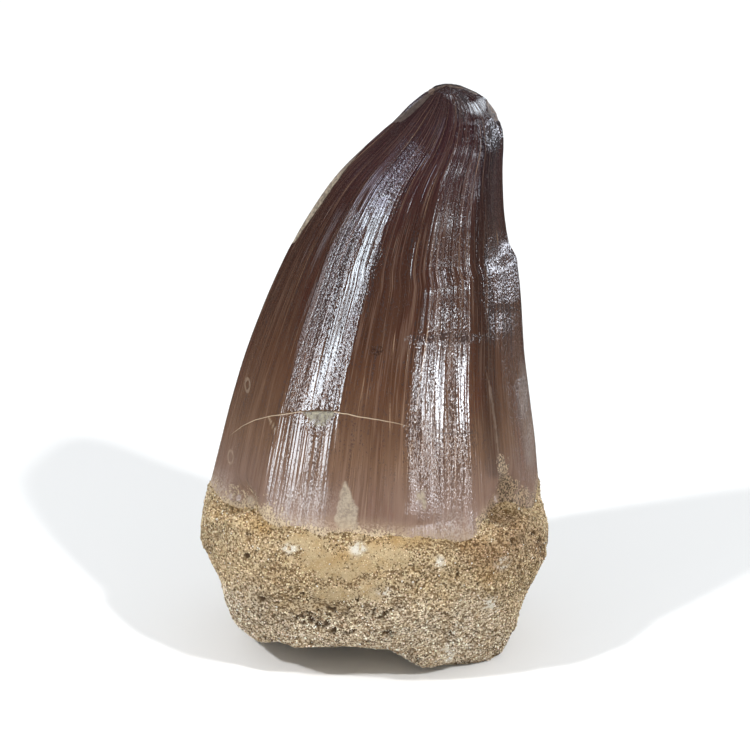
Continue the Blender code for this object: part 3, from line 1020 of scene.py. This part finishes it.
def build_matrix_body(shape, sand, low, high):
    mesh = remeshed("root_matrix", VOXEL)
    mesh.name = "matrix_body"
    points = points_of(mesh)
    normals = vectors_of(mesh.vertex_normals, "vector")
    smooth, pit, tone, _ = sand.read(points, -normals[:, 1])
    lumps = sum(height * SpaceNoise(SEED + 30 + i, size)(points) for i, (size, height) in enumerate(LUMPS))
    flat = (points[:, 2] < 0.15) & (normals[:, 2] < -0.8)
    points += normals * (lumps - INSET - PIT_DEPTH * pit + SMOOTH_RISE * smooth)[:, None]
    points[flat, 2] = FLAT_AT

    # The upper edge is lifted to a ragged line and laid against the enamel.
    angle, out = shape.locate(points)
    below = shape.margin_at(angle) - points[:, 2]
    ragged = sum(h * ring_noise(SEED + 40 + n, angle, points[:, 2], n) for n, h in MARGIN_RAGGED)
    skin = (out > -0.4) & (below < 3)
    near = (1 - eased(0.2, 1.6, below)) * skin
    points[:, 2] += near * (MARGIN_LIFT + ragged)
    angle, out = shape.locate(points)
    over = points[:, 2] - shape.margin_at(angle) - ragged
    wanted = SKIN_PROUD + 0.05 * lumps - 0.45 * eased(0.10, 0.40, over)
    blend = near * eased(-0.9, -0.1, over)
    moved = shape.points(angle, points[:, 2], out * (1 - blend) + wanted * blend)
    points[skin] = moved[skin]
    seat = ~skin & (out > -2.5) & (below < 0.8)
    points[seat] = shape.points(angle, points[:, 2], out - SEAT_GAP)[seat]

    points = np.clip(points, np.array(low) + BOX_GAP, np.array(high) - BOX_GAP)
    mesh.vertices.foreach_set("co", (points * MM).astype(np.float32).reshape(-1))
    mesh.update()
    mesh.shade_smooth()
    set_attribute(mesh, "smooth", smooth)
    set_attribute(mesh, "pit", pit)
    set_colours(mesh, "tone", tone)
    return new_piece(mesh, "root_matrix", sand_body_material())


def scattered(mesh, spacing, rng, wanted):
    """Points spread over a mesh, at least 0.8 of a spacing apart, with the normals there."""
    mesh.calc_loop_triangles()
    corners = np.empty(len(mesh.loop_triangles) * 3, np.int32)
    mesh.loop_triangles.foreach_get("vertices", corners)
    points = points_of(mesh)
    a, b, c = (points[corners.reshape(-1, 3)[:, k]] for k in range(3))
    cross = np.cross(b - a, c - a)
    area = np.linalg.norm(cross, axis=1) / 2
    tries = int(5 * area.sum() / spacing**2)
    chosen = rng.choice(len(area), tries, p=area / area.sum())
    u, v = rng.random(tries), rng.random(tries)
    flip = u + v > 1
    u[flip], v[flip] = 1 - u[flip], 1 - v[flip]
    at = a[chosen] + u[:, None] * (b - a)[chosen] + v[:, None] * (c - a)[chosen]
    normal = cross[chosen] / (2 * area[chosen])[:, None]
    kept = rng.random(tries) < wanted(at, normal)
    at, normal = at[kept], normal[kept]
    tree = KDTree(len(at))
    for i, point in enumerate(at):
        tree.insert(point, i)
    tree.balance()
    dropped = np.zeros(len(at), bool)
    for i, point in enumerate(at):
        if not dropped[i]:
            for _, j, _ in tree.find_range(point, spacing * 0.8):
                dropped[j] |= j > i
    return at[~dropped], normal[~dropped]


def turns(rng, count):
    """Random rotation matrices."""
    q = rng.normal(size=(count, 4))
    q /= np.linalg.norm(q, axis=1, keepdims=True)
    cross = np.cross(np.eye(3), q[:, None, 1:])
    return np.eye(3) + 2 * q[:, :1, None] * cross + 2 * cross @ cross


GRAIN_POINTS = np.array([(1, 0, 0), (-1, 0, 0), (0, 1, 0), (0, -1, 0), (0, 0, 1), (0, 0, -1)], float)
GRAIN_SIDES = ((0, 2), (2, 1), (1, 3), (3, 0))
GRAIN_FACES = np.array([(a, b, 4) for a, b in GRAIN_SIDES] + [(b, a, 5) for a, b in GRAIN_SIDES])


def build_grains(body, shape, sand, low, high):
    rng = np.random.default_rng(SEED + 2)

    def wanted(at, normal):
        """The share of grains kept: few where the sand is smooth, and none in the pits or on the seat."""
        smooth, pit, _, _ = sand.read(at, -normal[:, 1])
        _, out = shape.locate(at)
        hidden = (out < -0.15) & (at[:, 2] > 10)
        underneath = (normal[:, 2] < -0.7) & (at[:, 2] < 0.3)
        return (1 - 0.55 * smooth) * (1 - pit) * ~hidden * ~underneath

    at, normal = scattered(body.data, GRAIN_SPACING, rng, wanted)
    count = len(at)
    smooth, _, tone, below = sand.read(at, -normal[:, 1])
    size = rng.uniform(*GRAIN_SIZE, count) * (1 - 0.4 * smooth)
    # The dark grains are partly dark sand and partly painted shade: sunk deeper than the rest, they stand in
    # for the shaded gaps between the pale grains.
    dark_share = (0.30 + 0.19 * eased(2, 9, below)) * (1 - 0.8 * smooth) + 0.08 * sand.wide2(at)
    dark_share *= 1 - 0.6 * (normal[:, 1] < 0) * in_patches(pixels_of(at), LIGHT_PATCHES)
    dark = rng.random(count) < dark_share
    points = GRAIN_POINTS[None] * rng.uniform(*GRAIN_LENGTHS, (count, len(GRAIN_POINTS), 1))
    points = np.einsum("nij,nkj->nki", turns(rng, count), points) * size[:, None, None]
    sunk = size * np.where(dark, rng.uniform(-0.5, -0.2, count), rng.uniform(-0.4, 0.1, count))
    points += (at + normal * sunk[:, None])[:, None]
    points = np.clip(points, np.array(low) + GRAIN_BOX_GAP, np.array(high) - GRAIN_BOX_GAP)
    tone = tone * rng.uniform(*GRAIN_SHADES, (count, 1)) ** np.array(GRAIN_WARMTH)
    tone *= 1 + rng.uniform(-0.05, 0.05, (count, 3))
    odd = rng.random(count)
    tone[odd > 0.98] = PALE
    tone[odd < 0.06] = BROWN
    tone[dark] = np.array(DARK) * rng.uniform(0.6, 1.8, (dark.sum(), 1))
    material = grain_material()
    for piece, start in enumerate(range(0, count, GRAINS_PER_PIECE)):
        part = slice(start, min(start + GRAINS_PER_PIECE, count))
        n = part.stop - part.start
        mesh = bpy.data.meshes.new(f"matrix_grains_{piece + 1}")
        index = (GRAIN_FACES[None] + len(GRAIN_POINTS) * np.arange(n)[:, None, None]).reshape(-1, 3)
        mesh.from_pydata((points[part].reshape(-1, 3) * MM).tolist(), [], index.tolist())
        set_colours(mesh, "tone", np.repeat(np.clip(tone[part], 0, 0.9), len(GRAIN_POINTS), axis=0))
        new_piece(mesh, "root_matrix", material)


# ---- the studio


def from_tooth(azimuth, elevation):
    """A direction from the tooth. The azimuth is counted from the camera's side to the right."""
    a, e = math.radians(azimuth), math.radians(elevation)
    return Vector((math.sin(a) * math.cos(e), -math.cos(a) * math.cos(e), math.sin(e)))


def softbox(name, azimuth, elevation, distance, size, radiance, colour=(1, 1, 1)):
    """A soft area light that faces the tooth."""
    data = bpy.data.lights.new(name, "AREA")
    data.shape = "RECTANGLE"
    data.size, data.size_y = size[0] * MM, size[1] * MM
    data.energy = radiance * math.pi * data.size * data.size_y
    data.color = colour
    light = placed_object(name, data)
    out = from_tooth(azimuth, elevation)
    light.location = (AIM + out * distance) * MM
    light.rotation_euler = out.to_track_quat("Z", "Y").to_euler()
    return light


def build_world():
    """A pale dome, darker near the horizon, and darker still in the polished enamel's reflections."""
    s = Shader(bpy.data.worlds.new("studio"), "Background")
    height = s.node("ShaderNodeSeparateXYZ", {0: s.coordinates.outputs["Generated"]}).outputs["Z"]
    lit, reflected = (
        s.colours(height, [(z, [level * tint for tint in DOME_TINT]) for z, level in dome])
        for dome in (LIT_DOME, REFLECTED_DOME)
    )
    glossy = s.node("ShaderNodeLightPath").outputs["Is Glossy Ray"]
    bpy.context.scene.world = s.finished({"Color": s.mix(glossy, lit, reflected), "Strength": 1.0})


def build_studio():
    scene = bpy.context.scene
    data = bpy.data.cameras.new("view")
    data.lens, data.sensor_width = LENS, SENSOR
    data.clip_start, data.clip_end = 0.01, 20.0
    camera = placed_object("view", data)
    camera.location = CAMERA * MM
    camera.rotation_euler = (math.pi / 2 - VIEW_DOWN, 0, 0)
    scene.camera = camera

    mesh = bpy.data.meshes.new("floor")
    bm = bmesh.new()
    bmesh.ops.create_circle(bm, cap_ends=True, segments=96, radius=FLOOR_RADIUS * MM)
    bm.to_mesh(mesh)
    bm.free()
    mesh.materials.append(floor_material())
    floor = placed_object("floor", mesh)
    floor.location.z = -FLOOR_DROP * MM
    floor.visible_glossy = False

    for *place, radiance in KEYS:
        softbox(*place, KEY_DISTANCE, KEY_SIZE, radiance).visible_glossy = False
    for i, (azimuth, elevation, width, height, radiance, colour) in enumerate(STRIPS):
        size = [2 * STRIP_DISTANCE * math.tan(math.radians(a / 2)) for a in (width, height)]
        strip = softbox(f"strip_{i + 1}", azimuth, elevation, STRIP_DISTANCE, size, radiance, colour)
        strip.visible_diffuse = False
    build_world()
    scene.view_settings.view_transform = "Standard"


# ---- build everything

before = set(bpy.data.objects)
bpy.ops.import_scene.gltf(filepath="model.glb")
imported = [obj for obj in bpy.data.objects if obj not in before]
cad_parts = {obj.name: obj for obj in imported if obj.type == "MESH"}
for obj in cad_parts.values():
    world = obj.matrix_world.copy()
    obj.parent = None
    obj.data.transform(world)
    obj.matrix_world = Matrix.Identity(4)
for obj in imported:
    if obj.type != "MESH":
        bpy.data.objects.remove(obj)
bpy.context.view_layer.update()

crown_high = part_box("crown")[1] / MM
matrix_low, matrix_high = (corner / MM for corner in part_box("root_matrix"))

shape = CrownShape(tree_of("crown"), crown_high.z)
build_crown(shape, crown_high.z)
sand = Sand(shape)
body = build_matrix_body(shape, sand, matrix_low, matrix_high)
build_grains(body, shape, sand, matrix_low, matrix_high)
build_studio()
